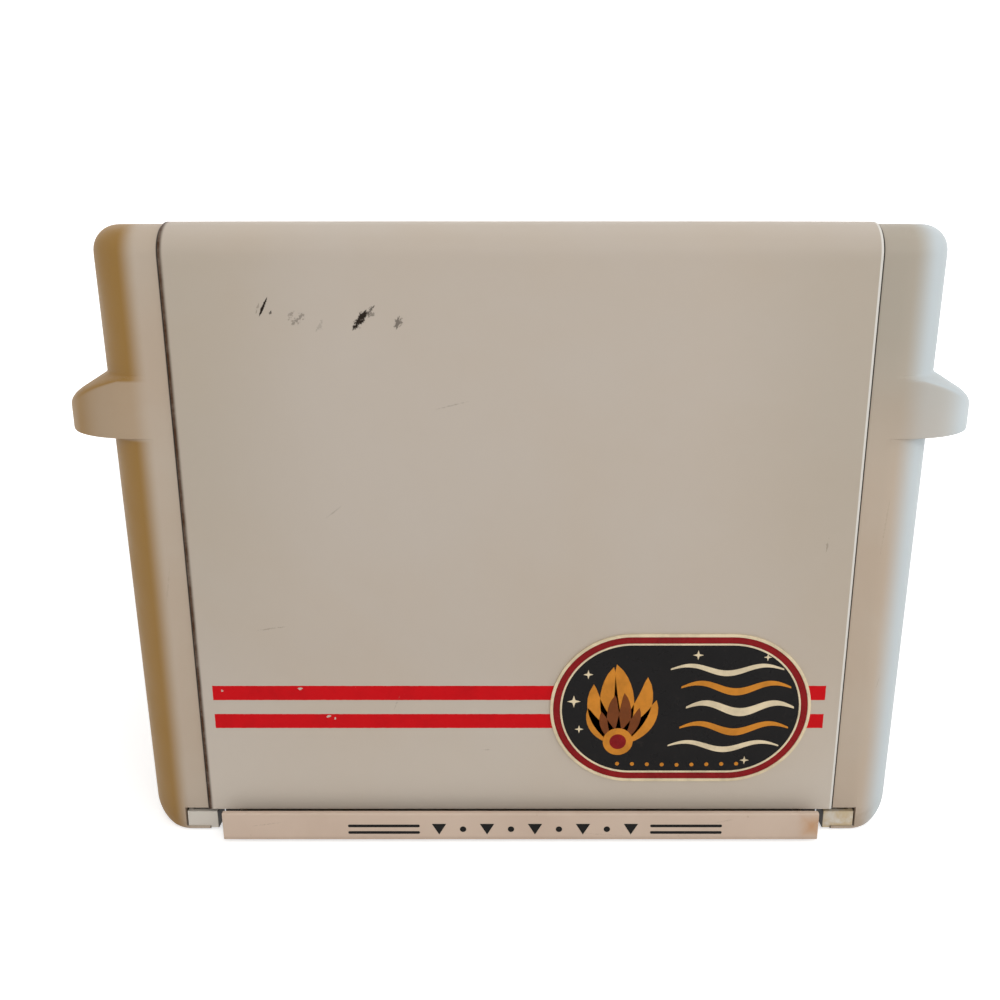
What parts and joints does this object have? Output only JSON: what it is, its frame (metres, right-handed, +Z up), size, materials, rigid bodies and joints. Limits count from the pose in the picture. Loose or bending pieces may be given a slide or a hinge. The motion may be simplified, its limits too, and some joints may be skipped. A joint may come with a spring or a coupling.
{
  "type": "hot dog toaster",
  "caption": "Boxy pop-up toaster with bun slots, round hot dog openings with lift-out baskets, a side lever and dial, end grips and a pull-out crumb tray.",
  "frame": {"origin": "centre of the footprint, on the table under the rubber feet", "axes": "+X along the toaster towards the end with the lever, -Y out of the front with the crumb tray, +Z up"},
  "size_m": [0.319, 0.1875, 0.219],
  "materials": {
    "cover_paint": "satin enamel",
    "cap_plastic": "satin moulded",
    "base_plastic": "moulded",
    "galvanised": "galvanised sheet",
    "bright_sheet": "bright",
    "mica": "flaky",
    "heating_alloy": "oxidised",
    "wire_steel": "plated wire",
    "spring_steel": "drawn wire",
    "black_plastic": "moulded",
    "switch_plastic": "moulded",
    "copper_coil": "varnished winding",
    "iron": "plain",
    "porcelain": "glazed",
    "board": "lacquered laminate",
    "red_plastic": "moulded",
    "panel_print": "printed plate",
    "tray_steel": "enamelled sheet",
    "lip_paint": "satin enamel",
    "badge_print": "printed plate",
    "foot_rubber": "moulded"
  },
  "bodies": {
    "housing": {"outer_cover": "cover_paint", "left_end_cap": "cap_plastic", "right_end_cap": "cap_plastic", "base_frame": "base_plastic", "chassis_floor": "galvanised", "left_chassis_plate": "galvanised", "right_chassis_plate": "galvanised", "front_reflector": "bright_sheet", "rear_reflector": "bright_sheet", "top_guide_plate": "bright_sheet", "front_outer_card": "mica", "front_inner_card": "mica", "rear_inner_card": "mica", "rear_outer_card": "mica", "front_outer_ribbon": "heating_alloy", "front_inner_ribbon": "heating_alloy", "rear_inner_ribbon": "heating_alloy", "rear_outer_ribbon": "heating_alloy", "front_guard_wires": "wire_steel", "rear_guard_wires": "wire_steel", "guide_rod": "wire_steel", "lift_spring": "spring_steel", "holding_magnet": "copper_coil", "power_switch": "switch_plastic", "terminal_block": "porcelain", "control_board": "board", "timer_unit": "switch_plastic", "cancel_switch": "switch_plastic", "button_spring": "spring_steel", "control_panel": "panel_print", "badge_plate": "badge_print", "cord_grommet": "foot_rubber", "cap_screws": "spring_steel", "chassis_screws": "spring_steel", "board_screws": "spring_steel", "rubber_feet": "foot_rubber"},
    "tray": {"crumb_tray": "tray_steel", "tray_lip": "lip_paint"},
    "lift": {"lift_bracket": "galvanised", "front_bun_rack": "wire_steel", "rear_bun_rack": "wire_steel", "hot_dog_rack": "wire_steel", "lever_knob": "black_plastic", "magnet_keeper": "iron"},
    "dial": {"dial_shaft": "wire_steel", "dial_knob": "black_plastic"},
    "button": {"cancel_button": "red_plastic"},
    "basket_left": {"left_basket": "wire_steel"},
    "basket_right": {"right_basket": "wire_steel"}
  },
  "joints": [
    {"name": "tray_slide", "type": "slide", "parent": "housing", "child": "tray", "axis": [0, -1, 0], "range_m": [0, 0.15]},
    {"name": "lift_slide", "type": "slide", "parent": "housing", "child": "lift", "axis": [0, 0, -1], "range_m": [0, 0.075], "stiffness_N_per_m": 40, "springref_m": -0.1, "deforming": ["lift_spring"]},
    {"name": "dial_turn", "type": "hinge", "parent": "housing", "child": "dial", "pos_m": [0.143, -0.009, 0.044], "axis": [1, 0, 0], "range_deg": [0, 270]},
    {"name": "button_press", "type": "slide", "parent": "housing", "child": "button", "axis": [-1, 0, 0], "range_m": [0, 0.003], "stiffness_N_per_m": 250, "springref_m": -0.002, "deforming": ["button_spring"]},
    {"name": "basket_left_lift", "type": "slide", "parent": "lift", "child": "basket_left", "axis": [0, 0, 1], "range_m": [0, 0.13]},
    {"name": "basket_right_lift", "type": "slide", "parent": "lift", "child": "basket_right", "axis": [0, 0, 1], "range_m": [0, 0.13]}
  ]
}
